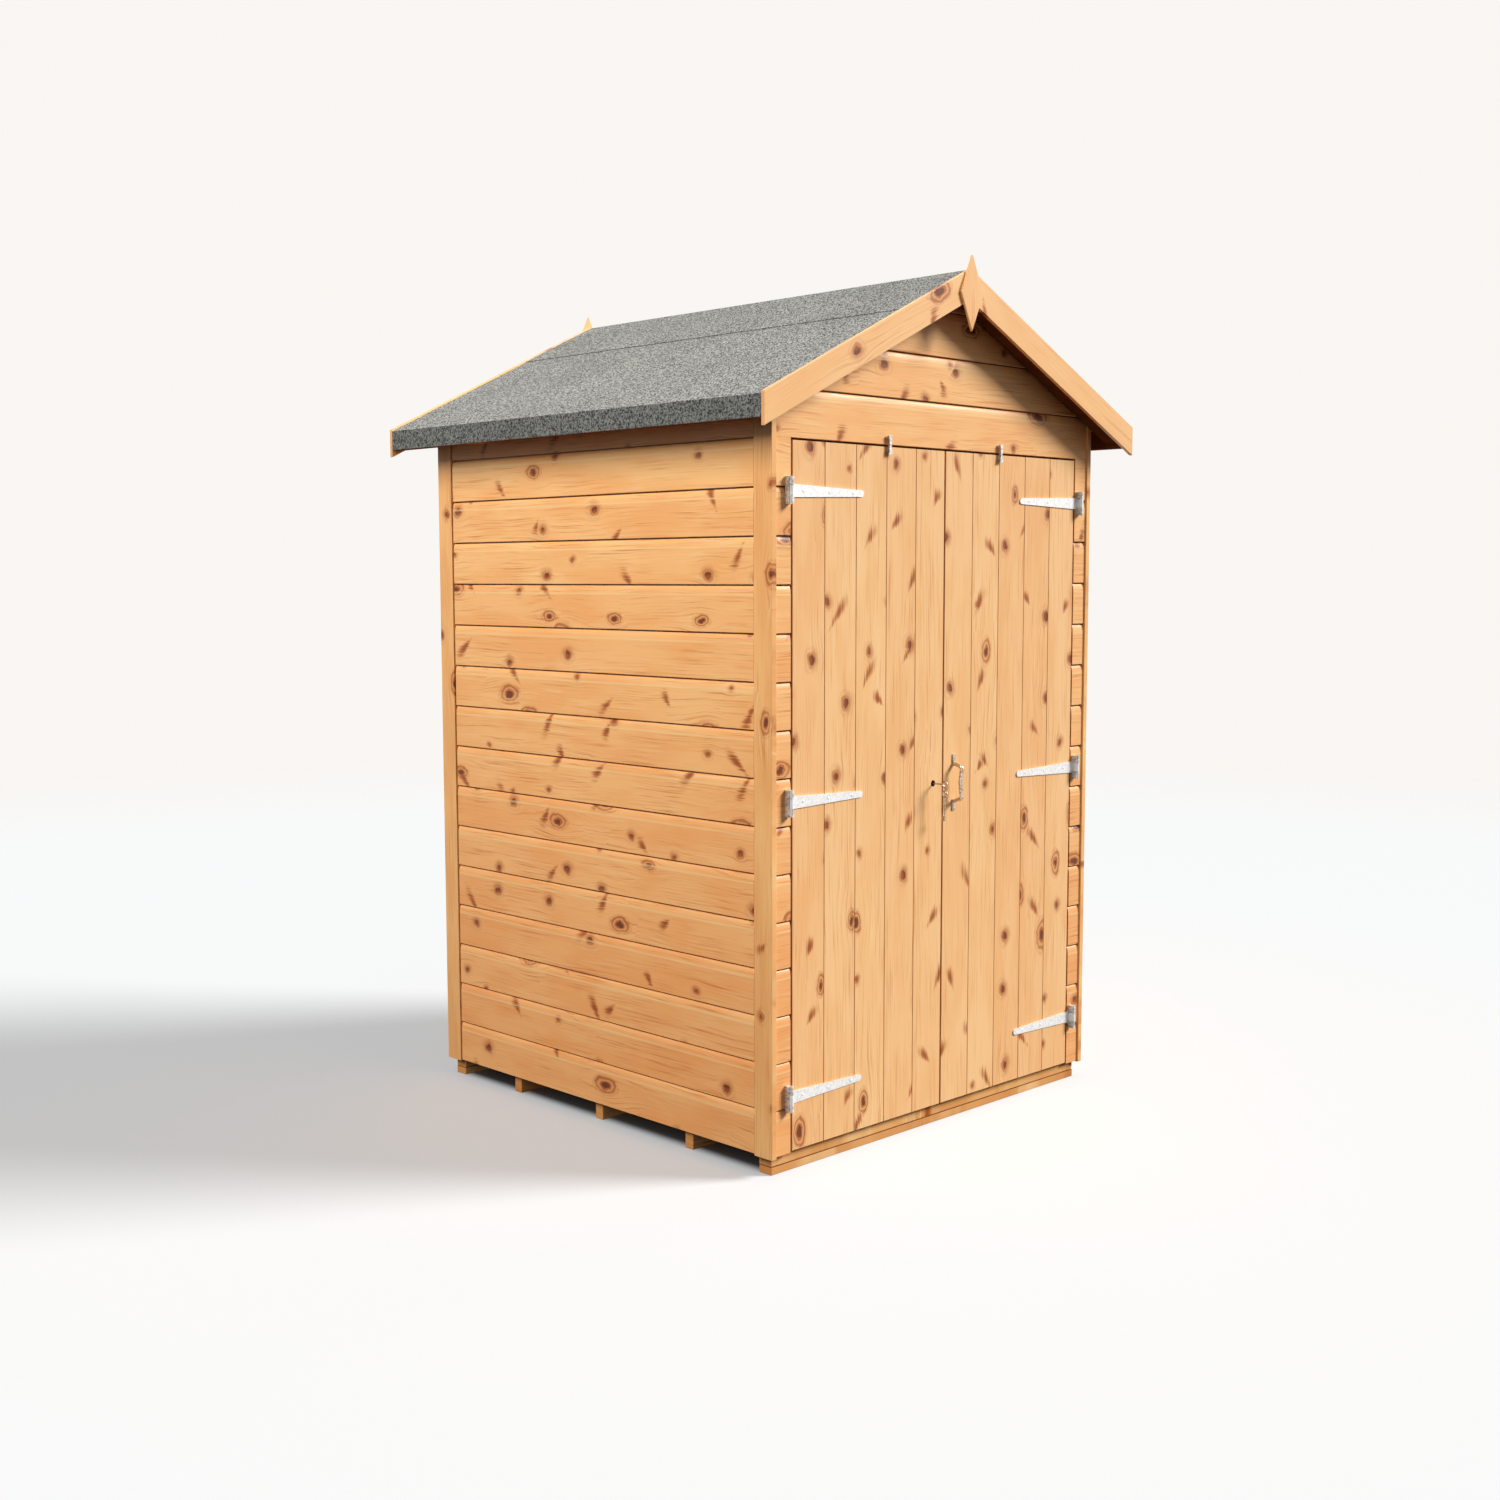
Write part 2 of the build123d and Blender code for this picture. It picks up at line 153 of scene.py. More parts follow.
class Graph:
    """Short ways to add and link shader nodes in one material or world."""

    def __init__(self, tree):
        self.tree = tree
        tree.nodes.clear()

    def add(self, kind, settings=None, **inputs):
        node = self.tree.nodes.new("ShaderNode" + kind)
        for name, value in (settings or {}).items():
            setattr(node, name, value)
        for name, value in inputs.items():
            self.put(node.inputs[name.replace("_", " ")], value)
        return node

    def put(self, socket, value):
        if isinstance(value, bpy.types.NodeSocket):
            self.tree.links.new(value, socket)
        else:
            socket.default_value = value

    def math(self, operation, *values):
        node = self.add("Math", {"operation": operation})
        for socket, value in zip(node.inputs, values):
            self.put(socket, value)
        return node.outputs[0]

    def length(self, vector):
        return self.add("VectorMath", {"operation": "LENGTH"}, Vector=vector).outputs["Value"]

    def parts(self, vector):
        node = self.add("SeparateXYZ", Vector=vector)
        return node.outputs[0], node.outputs[1], node.outputs[2]

    def join(self, x, y, z):
        return self.add("CombineXYZ", X=x, Y=y, Z=z).outputs[0]

    def noise(self, vector, scale, detail=2.0, rough=0.5):
        node = self.add("TexNoise", Vector=vector, Scale=scale, Detail=detail, Roughness=rough)
        return node.outputs[0]

    def cells(self, vector, scale):
        settings = {"voronoi_dimensions": "2D", "feature": "F1"}
        node = self.add("TexVoronoi", settings, Vector=vector, Scale=scale)
        return node.outputs["Position"], node.outputs["Color"]

    def ramp(self, value, low, high, to_low=0.0, to_high=1.0, smooth=True):
        kind = "SMOOTHSTEP" if smooth else "LINEAR"
        node = self.add("MapRange", {"interpolation_type": kind, "clamp": True}, Value=value)
        for name, setting in (("From Min", low), ("From Max", high), ("To Min", to_low), ("To Max", to_high)):
            self.put(node.inputs[name], setting)
        return node.outputs[0]

    def mix(self, share, first, second, blend="MIX"):
        node = self.add("Mix", {"data_type": "RGBA", "blend_type": blend})
        self.put(node.inputs[0], share)
        self.put(node.inputs[6], first)
        self.put(node.inputs[7], second)
        return node.outputs[2]

    def attribute(self, name, output="Vector"):
        return self.add("Attribute", {"attribute_name": name}).outputs[output]


def srgb(red, green, blue):
    """A display colour, 0 to 255, as linear light with full alpha."""
    linear = [((c / 255 + 0.055) / 1.055) ** 2.4 if c > 10 else c / 255 / 12.92 for c in (red, green, blue)]
    return (*linear, 1.0)


def material(name):
    """A new material and the graph to fill it with."""
    made = bpy.data.materials.new(name)
    made.use_nodes = True
    return made, Graph(made.node_tree)


def surface(graph, base, rough, height, bump, distance, metallic=0.0, specular=0.5):
    """A finished surface with colour, roughness and a bump of a height in metres."""
    shader = graph.add("BsdfPrincipled")
    graph.put(shader.inputs["Base Color"], base)
    graph.put(shader.inputs["Roughness"], rough)
    shader.inputs["Metallic"].default_value = metallic
    shader.inputs["Specular IOR Level"].default_value = specular
    node = graph.add("Bump", Strength=bump, Distance=distance, Height=height)
    graph.put(shader.inputs["Normal"], node.outputs[0])
    out = graph.add("OutputMaterial")
    graph.tree.links.new(shader.outputs[0], out.inputs["Surface"])


def drawn_out(graph, along, across, depth, repeats):
    """A place in the wood, scaled so that noise there is long with the grain and fine across it."""
    return graph.join(
        graph.math("MULTIPLY", along, repeats[0]), graph.math("MULTIPLY", across, repeats[1]), depth
    )


def wandered(graph, place, noise):
    """A place moved a little by a noise between 0 and 1."""
    centred = graph.math("SUBTRACT", noise, 0.5)
    return graph.math("ADD", place, graph.math("MULTIPLY", centred, WANDER))


def knots(graph, along, across, depth, share):
    """Scattered knots: how far out a point is in radii of the nearest one, the way across to it, if it is
    kept, if it is a ringed eye rather than a small branch end, and how dark it is."""
    wander = graph.add("TexNoise", Vector=graph.join(along, across, depth), Scale=WANDER_SCALE, Detail=2.0)
    wander_along, wander_across, _ = graph.parts(wander.outputs["Color"])
    along = wandered(graph, along, wander_along)
    across = wandered(graph, across, wander_across)
    place, chance = graph.cells(graph.join(along, across, 0.0), KNOT_CELLS)
    place_along, place_across, _ = graph.parts(place)
    luck, size, tone = graph.parts(chance)
    eye = graph.math("GREATER_THAN", tone, EYE_LUCK)
    offset_along = graph.math("SUBTRACT", along, place_along)
    offset_across = graph.math("SUBTRACT", across, place_across)
    small = graph.ramp(size, 0.0, 1.0, *SMALL_KNOT, smooth=False)
    large = graph.ramp(size, 0.0, 1.0, *RINGED_EYE, smooth=False)
    radius = graph.math("ADD", small, graph.math("MULTIPLY", eye, graph.math("SUBTRACT", large, small)))
    stretch = graph.math("ADD", graph.math("MULTIPLY", eye, 0.6), 1.2)
    short = graph.math("DIVIDE", offset_along, stretch)
    reach = graph.length(graph.join(short, offset_across, 0.0))
    far = graph.math("DIVIDE", reach, radius)
    strength = graph.ramp(size, 0.0, 1.0, 0.62, 1.0, smooth=False)
    return far, offset_across, graph.math("LESS_THAN", luck, share), eye, strength


PALE_WOOD = srgb(255, 218, 158)
# Painted shade gathered in joints, slots and vees
JOINT_SHADE_COLOUR = srgb(104, 48, 20)
KNOT_BROWN = srgb(184, 106, 48)
KNOT_HEART = srgb(106, 50, 16)
SAWN_END = srgb(196, 122, 64)


def pine(
    name, light, middle, dark, knot_share, spike_share, rough=0.42, specular=0.35,
    pale=PALE_WOOD, joint=JOINT_SHADE_COLOUR, lean=SPIKE_LEAN,
):
    """Knotty pine: streaks that part round the knots, branch ends, ringed eyes and feathered spike knots."""
    made, g = material(name)
    along, across, depth = g.parts(g.attribute("wood"))
    sway = g.noise(drawn_out(g, along, across, depth, SWAY), 1.0)
    far, to_across, kept, eye, strength = knots(g, along, across, depth, knot_share)
    swell = g.math("EXPONENT", g.math("MULTIPLY", g.math("MULTIPLY", far, far), -0.14))
    push = g.math("MULTIPLY", g.math("MULTIPLY", to_across, swell), kept)
    flow = g.math("SUBTRACT", across, g.math("MULTIPLY", push, 0.75))
    flow = g.math("ADD", flow, g.math("MULTIPLY", sway, 0.03))
    streak = g.noise(drawn_out(g, along, flow, depth, STREAKS), 1.0, 3.0, 0.6)
    feather = g.math("SUBTRACT", streak, 0.5)
    patch = g.noise(drawn_out(g, along, across, depth, PATCHES), 1.0)
    blotch = g.noise(drawn_out(g, along, across, depth, BLOTCHES), 1.3, 3.0)

    colour = g.mix(g.ramp(blotch, 0.36, 0.66), light, middle)
    busy = g.ramp(patch, 0.36, 0.64, 0.2, 1.0)
    dark_streak = g.math("MULTIPLY", g.ramp(streak, 0.50, 0.72), g.math("MULTIPLY", busy, 0.95))
    colour = g.mix(dark_streak, colour, dark)
    pale_streak = g.math("MULTIPLY", g.ramp(streak, 0.48, 0.28), g.math("MULTIPLY", busy, 0.4))
    colour = g.mix(pale_streak, colour, pale)

    # Pale threads of early wood, in patches
    thread = g.ramp(g.noise(drawn_out(g, along, flow, depth, THREADS), 1.0, 1.0), 0.54, 0.68)
    threaded = g.math("MULTIPLY", thread, g.ramp(patch, 0.46, 0.60, 0.06, 0.55))
    colour = g.mix(threaded, colour, pale)

    # Ringed eyes: brown growth rings with pale wood between, and a rim darker on one side
    side = g.ramp(to_across, -KNOT_SIDE, KNOT_SIDE)
    rings = g.math("SINE", g.math("ADD", g.math("MULTIPLY", far, 15.0), g.math("MULTIPLY", feather, 5.0)))
    eyed = g.math("MULTIPLY", eye, kept)
    ragged = g.math("ADD", far, g.math("MULTIPLY", feather, 0.9))
    in_eye = g.math("MULTIPLY", g.ramp(far, 1.8, 0.7), eyed)
    ring_light = g.math("MULTIPLY", in_eye, g.ramp(rings, -0.3, -0.95))
    colour = g.mix(g.math("MULTIPLY", ring_light, 0.2), colour, pale)
    ring_line = g.math("MULTIPLY", in_eye, g.ramp(rings, -0.6, 0.9, 0.24, 0.46))
    rim = g.ramp(g.math("ABSOLUTE", g.math("SUBTRACT", far, 1.0)), 0.34, 0.04)
    rim = g.math("MULTIPLY", rim, g.math("MULTIPLY", eyed, g.ramp(side, 0.0, 1.0, 0.1, 0.45)))
    heart = g.math("MULTIPLY", g.ramp(ragged, 0.62, 0.3, 0.0, 0.95), eyed)
    brown = g.math("MAXIMUM", g.math("MAXIMUM", ring_line, rim), heart)

    # Small branch ends in a soft brown halo with a pale ring
    plain = g.math("MULTIPLY", kept, g.math("SUBTRACT", 1.0, eye))
    halo = g.math("MULTIPLY", g.ramp(far, 3.2, 0.9, 0.0, 0.36), plain)
    bare = g.ramp(g.math("ABSOLUTE", g.math("SUBTRACT", far, 1.75)), 0.5, 0.1, 0.0, 0.4)
    bare = g.math("MULTIPLY", g.math("MULTIPLY", bare, plain), g.ramp(side, 0.0, 1.0, 1.0, 0.2))
    halo = g.math("MULTIPLY", halo, g.math("SUBTRACT", 1.0, bare))
    colour = g.mix(bare, colour, pale)
    branch = g.math("MULTIPLY", g.ramp(ragged, 1.2, 0.65), plain)
    branch_end = g.math("MULTIPLY", branch, g.ramp(side, 0.0, 1.0, 0.72, 1.0))
    branch_end = g.math("MULTIPLY", branch_end, strength)
    brown = g.math("MAXIMUM", brown, g.math("MAXIMUM", halo, branch_end))

    # Spike knots: slanting smudges feathered along the grain
    spot_along = g.math("ADD", along, SPIKE_SHIFT[0])
    spot_across = g.math("ADD", across, SPIKE_SHIFT[1])
    place, chance = g.cells(g.join(spot_along, spot_across, 0.0), SPIKE_CELLS)
    place_along, place_across, _ = g.parts(place)
    luck, hand, tilt = g.parts(chance)
    near_along = g.math("SUBTRACT", spot_along, place_along)
    near_across = g.math("SUBTRACT", spot_across, place_across)
    turn = g.math("SUBTRACT", g.math("MULTIPLY", g.math("GREATER_THAN", hand, 0.5), 2.0), 1.0)
    near_across = g.math("MULTIPLY", near_across, turn)
    slant = g.ramp(tilt, 0.0, 1.0, *lean, smooth=False)
    slant_cos = g.math("COSINE", slant)
    slant_sin = g.math("SINE", slant)
    lengthwise = g.math(
        "ADD", g.math("MULTIPLY", near_along, slant_cos), g.math("MULTIPLY", near_across, slant_sin)
    )
    sideways = g.math(
        "SUBTRACT", g.math("MULTIPLY", near_across, slant_cos), g.math("MULTIPLY", near_along, slant_sin)
    )
    long = g.ramp(luck, 0.0, spike_share, *SPIKE_LENGTH, smooth=False)
    taper = g.math("DIVIDE", lengthwise, long)
    wide = g.ramp(taper, -1.0, 1.0, *SPIKE_WIDTH, smooth=False)
    spot = g.length(g.join(taper, g.math("DIVIDE", sideways, wide), 0.0))
    spot = g.math("ADD", spot, g.math("MULTIPLY", feather, 2.8))
    smudge = g.math("MULTIPLY", g.ramp(spot, 1.6, -0.3), g.math("LESS_THAN", luck, spike_share))
    brown = g.math("MAXIMUM", brown, g.math("MULTIPLY", smudge, 0.74))
    colour = g.mix(g.ramp(brown, 0.0, 0.55), colour, KNOT_BROWN)
    colour = g.mix(g.ramp(brown, 0.4, 1.0), colour, KNOT_HEART)

    # Board-to-board tone, which on the walls also holds painted shade, darker and redder towards the foot,
    # and painted light, paler towards the top; painted highlights on the edges below the coves; sawn ends;
    # and painted shade in the joints
    tint = g.attribute("tint", "Fac")
    red = g.ramp(tint, 0.0, 1.0, 0.95, 1.03, smooth=False)
    green = g.ramp(tint, 0.0, 1.0, 0.78, 1.06, smooth=False)
    blue = g.ramp(tint, 0.0, 1.0, 0.70, 1.10, smooth=False)
    colour = g.mix(1.0, colour, g.join(red, green, blue), "MULTIPLY")
    # Painted highlight on the edge where each cove meets the flat face
    colour = g.mix(g.math("MULTIPLY", g.attribute("arris_highlight", "Fac"), 0.6), colour, pale)
    colour = g.mix(g.math("MULTIPLY", g.attribute("end", "Fac"), 0.5), colour, SAWN_END)
    # Painted shade in the joints
    colour = g.mix(g.math("MULTIPLY", g.attribute("joint_shade", "Fac"), 0.85), colour, joint)

    rough_map = g.ramp(streak, 0.3, 0.8, rough - 0.05, rough + 0.1, smooth=False)
    height = g.math("SUBTRACT", g.math("MULTIPLY", streak, 0.6), g.math("MULTIPLY", branch, 0.4))
    surface(g, colour, rough_map, height, bump=0.2, distance=0.7 * MM, specular=specular)
    return made


def roofing_felt(name, pale, deep, fleck, fascia_shade):
    """Mineral grit on bitumen, with painted shade darkening the felt where it turns down."""
    made, g = material(name)
    place = g.add("TexCoord").outputs["Object"]
    grit = g.noise(place, 240.0, 2.0, 0.7)
    coarse = g.noise(place, 115.0, 2.0, 0.5)
    cloud = g.noise(place, 5.0, 3.0, 0.55)
    colour = g.mix(g.ramp(grit, 0.42, 0.60), deep, pale)
    colour = g.mix(g.math("MULTIPLY", g.ramp(coarse, 0.50, 0.68), 0.45), colour, fleck)
    shade = g.ramp(cloud, 0.3, 0.7, 0.92, 1.05)
    colour = g.mix(1.0, colour, g.join(shade, shade, shade), "MULTIPLY")
    # Painted shade: faces that turn down from upward are darkened
    _, _, upward = g.parts(g.add("NewGeometry").outputs["Normal"])
    colour = g.mix(g.ramp(upward, 0.6, 0.3, 0.0, 0.57), colour, fascia_shade)
    height = g.math("ADD", grit, g.math("MULTIPLY", coarse, 0.6))
    surface(g, colour, 0.92, height, bump=0.55, distance=1.2 * MM, specular=0.15)
    return made


def galvanised(name, deep, pale):
    """Hot-dipped zinc with a spangle between two greys."""
    made, g = material(name)
    place = g.add("TexCoord").outputs["Object"]
    spangle = g.add("TexVoronoi", {"feature": "F1"}, Vector=place, Scale=190.0)
    _, flake, _ = g.parts(spangle.outputs["Color"])
    cloud = g.noise(place, 90.0, 3.0, 0.6)
    blend = g.math("ADD", g.math("MULTIPLY", flake, 0.35), g.math("MULTIPLY", cloud, 0.65))
    colour = g.mix(g.ramp(blend, 0.30, 0.70), deep, pale)
    rough = g.ramp(blend, 0.2, 0.8, 0.55, 0.42, smooth=False)
    surface(g, colour, rough, cloud, bump=0.12, distance=0.4 * MM, metallic=0.25)
    return made


# Brown of worn plating that also stands in as painted reflection of the wood
WEAR_AND_WOOD_REFLECTION = srgb(150, 128, 108)


def polished(name, base, rough_low, rough_high):
    """Plated metal with brown patches: partly worn metal and partly painted reflection of the wood."""
    made, g = material(name)
    place = g.add("TexCoord").outputs["Object"]
    wear_and_reflection = g.noise(place, 160.0, 3.0, 0.6)
    colour = g.mix(g.ramp(wear_and_reflection, 0.3, 0.75), base, WEAR_AND_WOOD_REFLECTION)
    rough = g.ramp(wear_and_reflection, 0.3, 0.7, rough_low, rough_high)
    surface(g, colour, rough, wear_and_reflection, bump=0.08, distance=0.3 * MM, metallic=1.0)
    return made


def blackened(name, deep, pale):
    """Dull black iron."""
    made, g = material(name)
    place = g.add("TexCoord").outputs["Object"]
    grain = g.noise(place, 420.0, 3.0, 0.6)
    colour = g.mix(g.ramp(grain, 0.35, 0.7), deep, pale)
    rough = g.ramp(grain, 0.3, 0.7, 0.7, 0.85)
    surface(g, colour, rough, grain, bump=0.2, distance=0.4 * MM, specular=0.12)
    return made


WALL_PINE = pine(
    "wall_pine", srgb(254, 200, 133), srgb(249, 185, 116), srgb(211, 136, 73),
    knot_share=0.66, spike_share=0.50,
)
# Doors: the joint colour is painted shade in the vees between boards
DOOR_PINE = pine(
    "door_pine", srgb(253, 206, 147), srgb(248, 195, 132), srgb(218, 150, 90),
    knot_share=0.70, spike_share=0.60, joint=srgb(184, 108, 54), lean=(0.35, 0.8),
)
TRIM_PINE = pine(
    "trim_pine", srgb(253, 205, 144), srgb(249, 196, 132), srgb(222, 155, 94),
    knot_share=0.45, spike_share=0.25,
)
STRIP_PINE = pine(
    "strip_pine", srgb(250, 196, 127), srgb(241, 181, 113), srgb(210, 142, 82),
    knot_share=0.40, spike_share=0.30,
)
SAWN_PINE = pine(
    "sawn_pine", srgb(238, 180, 114), srgb(226, 162, 98), srgb(194, 124, 68),
    knot_share=0.40, spike_share=0.30, rough=0.85, specular=0.04,
)
# Dark timber under the roof's edges: painted shade on the eave and verge battens
SHADED_SOFFIT_PINE = pine(
    "shaded_soffit_pine", srgb(112, 64, 34), srgb(98, 54, 28), srgb(80, 42, 20),
    knot_share=0.40, spike_share=0.30, rough=0.85, specular=0.04, pale=srgb(126, 74, 40),
)
FELT = roofing_felt(
    "mineral_felt", srgb(184, 186, 183), srgb(56, 58, 57), fleck=srgb(206, 208, 206), fascia_shade=srgb(52, 54, 53)
)
ZINC = galvanised("galvanised_steel", srgb(224, 225, 226), srgb(247, 246, 245))
# A darker copy of the same galvanised steel for hinge plates and turn buttons: painted shade
SHADED_ZINC = galvanised("shaded_zinc", srgb(172, 173, 174), srgb(234, 234, 233))
# The warm base colours of the plated and key steel are painted reflection of the wood around them
PLATED = polished("plated_steel", srgb(230, 216, 202), 0.10, 0.20)
KEY_STEEL = polished("key_steel", srgb(204, 186, 166), 0.2, 0.34)
BLACK = blackened("black_iron", srgb(8, 7, 6), srgb(20, 18, 16))


# Mesh helpers

def linked(name, data):
    """A new object in the scene."""
    made = bpy.data.objects.new(name, data)
    bpy.context.scene.collection.objects.link(made)
    return made


def new_object(name, mesh, paint, body, replaced=()):
    """Link a finished mesh, paint it, fix it to its body, and hide the CAD nodes it replaces."""
    made = linked(name, mesh)
    mesh.materials.clear()
    mesh.materials.append(paint)
    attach(made, body)
    if replaced:
        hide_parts(*replaced)


def grain_shift():
    """A random place in the wood that a board is cut from."""
    return Vector([dice.uniform(0, reach) for reach in GRAIN_SHIFT])


def prism_faces(count, open_sides=()):
    """The sides of a prism between two rings of points, but for open ones, and then its two ends."""
    sides = [
        [i, (i + 1) % count, count + (i + 1) % count, count + i]
        for i in range(count) if i not in open_sides
    ]
    return sides + [list(range(count))[::-1], list(range(count, 2 * count))]


class Timber:
    """Collects boards into one mesh, with grain coordinates, tone and sawn ends for the pine materials."""

    def __init__(self):
        self.points = []
        self.faces = []
        self.wood = []
        self.tint = []
        self.joint_shade = []
        self.arris_highlight = []
        self.end = []

    def board(self, points, faces, grain, ends, joint_shade=None, arris_highlight=None, tint=None):
        """One board: its points, faces, grain coordinates by point, sawn end faces, points that take painted
        shade in a joint or a painted highlight on an edge, and its tone from 0 for dark to 1 for pale, which
        on walls also holds painted shade."""
        start = len(self.points)
        shift = grain_shift()
        self.points += points
        self.wood += [Vector(g) + shift for g in grain]
        self.tint += [dice.uniform(*PLAIN_TONES) if tint is None else tint] * len(points)
        self.joint_shade += joint_shade or [0.0] * len(points)
        self.arris_highlight += arris_highlight or [0.0] * len(points)
        self.faces += [[start + i for i in face] for face in faces]
        self.end += [1.0 if i in ends else 0.0 for i in range(len(faces))]

    def mesh(self, name):
        made = bpy.data.meshes.new(name)
        made.from_pydata([tuple(p) for p in self.points], [], self.faces)
        write(made, "wood", "FLOAT_VECTOR", "POINT", "vector", [c for w in self.wood for c in w])
        write(made, "tint", "FLOAT", "POINT", "value", self.tint)
        write(made, "joint_shade", "FLOAT", "POINT", "value", self.joint_shade)
        write(made, "arris_highlight", "FLOAT", "POINT", "value", self.arris_highlight)
        write(made, "end", "FLOAT", "FACE", "value", self.end)
        return made


def write(mesh, name, kind, domain, field, values):
    """Give a mesh an attribute that its material reads."""
    mesh.attributes.new(name, kind, domain).data.foreach_set(field, values)


def recalculated(mesh):
    """Point all normals outward."""
    work = bmesh.new()
    work.from_mesh(mesh)
    bmesh.ops.recalc_face_normals(work, faces=work.faces)
    work.to_mesh(mesh)
    work.free()
    return mesh


def sweep_board(timber, outline, start_of, end_of, place, groove_depth=None, highlight_height=None, tint=None):
    """A board with a closed outline of (depth, height) points, run between two ends along its length.

    start_of and end_of give the end's place along the wall at a height; place maps (along, depth, height).
    Points between groove_depth and the back take painted shade in the joint, and the face takes a painted
    highlight at the height given for it."""
    count = len(outline)
    first = [(start_of(h), d, h) for d, h in outline]
    last = [(end_of(h), d, h) for d, h in outline]
    local = first + last
    grain = [(a, h, d) for a, d, h in local]
    back = max(d for d, _ in outline)
    joint_shade = [1.0 if groove_depth and groove_depth < d < back else 0.0 for _, d, _ in local]
    arris_highlight = [1.0 if d == 0.0 and h == highlight_height else 0.0 for _, d, h in local]
    points = [place(*p) for p in local]
    timber.board(points, prism_faces(count), grain, {count, count + 1}, joint_shade, arris_highlight, tint)


def islands(work):
    """The separate solids of a bmesh, as lists of vertices."""
    left = set(work.verts)
    found = []
    while left:
        stack = [min(left, key=lambda v: v.index)]
        group = set(stack)
        while stack:
            for edge in stack.pop().link_edges:
                for vert in edge.verts:
                    if vert not in group:
                        group.add(vert)
                        stack.append(vert)
        left -= group
        found.append(sorted(group, key=lambda v: v.index))
    return found


def grain_axes(verts, grain):
    """Unit vectors along, across and through a plank."""
    edges = {e for v in verts for e in v.link_edges}
    longest = max(edges, key=lambda e: (round(e.calc_length(), 5), -e.index))
    along = Vector(grain) if grain else (longest.verts[1].co - longest.verts[0].co).normalized()
    spread = {}
    for axis in (Vector((1, 0, 0)), Vector((0, 1, 0)), Vector((0, 0, 1))):
        if abs(axis.dot(along)) < SQUARE_ON:
            reach = [v.co.dot(axis) for v in verts]
            spread[tuple(axis)] = max(reach) - min(reach)
    through = Vector(min(spread, key=spread.get))
    return along, through.cross(along), through


def dress(node, name, paint, edge, grain=None, joint_height=None):
    """A CAD node with softened edges, grain along each of its planks, and a line of painted shade at a
    joint's height.
    """
    work = bmesh.new()
    work.from_mesh(nodes[node].data)
    bmesh.ops.remove_doubles(work, verts=work.verts, dist=WELD)
    bmesh.ops.dissolve_limit(work, angle_limit=FLAT_ANGLE, verts=work.verts, edges=work.edges)
    work.verts.index_update()
    work.edges.index_update()
    planks = [(grain_axes(group, grain), [v.co.copy() for v in group]) for group in islands(work)]
    sharp = [e for e in work.edges if len(e.link_faces) == 2 and e.calc_face_angle(0) > SHARP_ANGLE]
    bmesh.ops.bevel(
        work, geom=sharp, offset=edge, segments=EDGE_STEPS, profile=EDGE_PROFILE, affect="EDGES",
        clamp_overlap=True,
    )
    work.verts.index_update()
    mesh = bpy.data.meshes.new(name)
    wood = [Vector()] * len(work.verts)
    tint = [0.0] * len(work.verts)
    end = [0.0] * len(work.faces)
    joint_shade = [0.0] * len(work.verts)
    groups = islands(work)
    for (along, across, through), group in zip(match(planks, groups), groups):
        shift = grain_shift()
        tone = dice.uniform(*PLAIN_TONES)
        for v in group:
            wood[v.index] = Vector((v.co.dot(along), v.co.dot(across), v.co.dot(through))) + shift
            tint[v.index] = tone
            if joint_height is not None and abs(v.co.z - joint_height) < JOINT_SHADE_REACH:
                joint_shade[v.index] = 1.0
        for face in {f for v in group for f in v.link_faces}:
            end[face.index] = 1.0 if abs(face.normal.dot(along)) > END_ON else 0.0
    work.to_mesh(mesh)
    work.free()
    write(mesh, "wood", "FLOAT_VECTOR", "POINT", "vector", [c for w in wood for c in w])
    write(mesh, "tint", "FLOAT", "POINT", "value", tint)
    write(mesh, "end", "FLOAT", "FACE", "value", end)
    write(mesh, "joint_shade", "FLOAT", "POINT", "value", joint_shade)
    new_object(name, mesh, paint, body_of_node[node], [node])


def match(planks, groups):
    """The grain axes of the plank whose middle is nearest to each group's."""
    def middle(points):
        return sum(points, Vector()) / len(points)

    found = []
    for group in groups:
        centre = middle([v.co for v in group])
        found.append(min(planks, key=lambda plank: (middle(plank[1]) - centre).length)[0])
    return found


# Shiplap walls

left_low, left_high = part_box("left_cladding")
right_low, right_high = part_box("right_cladding")
_, back_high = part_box("back_cladding")
gable_low, gable_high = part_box("front_gable_cladding")
strip_low, strip_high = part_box("front_left_cladding")
right_strip_low, right_strip_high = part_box("front_right_cladding")

CLAD = left_high.x - left_low.x
BASE = left_low.z
WALL_TOP = left_high.z - CLAD * (gable_high.z - left_high.z) / abs(left_high.x)
SLOPE = (gable_high.z - WALL_TOP) / abs(left_low.x)


def shiplap_outline(low, high, first=False, last=False):
    """(depth, height) points of one board: lip, flat face, cove, shadow slot and tongue."""
    shoulder = high - SLOT_HEIGHT
    cove = [
        (COVE_DEPTH * (1 - math.cos(t)), shoulder - COVE_HEIGHT + COVE_HEIGHT * math.sin(t))
        for t in (math.pi / 2 * i / COVE_STEPS for i in range(1, COVE_STEPS + 1))
    ]
    lip = SLOT_DEPTH - REBATE_SLACK
    outline = [(LIP_CHAMFER, low), (0.0, low + LIP_CHAMFER)]
    if last:
        outline += [(0.0, high), (CLAD, high)]
    else:
        # The band just below this edge carries a painted highlight
        arris_highlight = shoulder - COVE_HEIGHT
        outline += [(0.0, arris_highlight - ARRIS_HIGHLIGHT_BAND), (0.0, arris_highlight), *cove, (SLOT_DEPTH, shoulder)]
        outline += [(SLOT_DEPTH, high + TONGUE), (CLAD, high + TONGUE)]
    if first:
        return outline + [(CLAD, low)]
    rebate = low + TONGUE + REBATE_SLACK
    return outline + [(CLAD, rebate), (lip, rebate), (lip, low)]


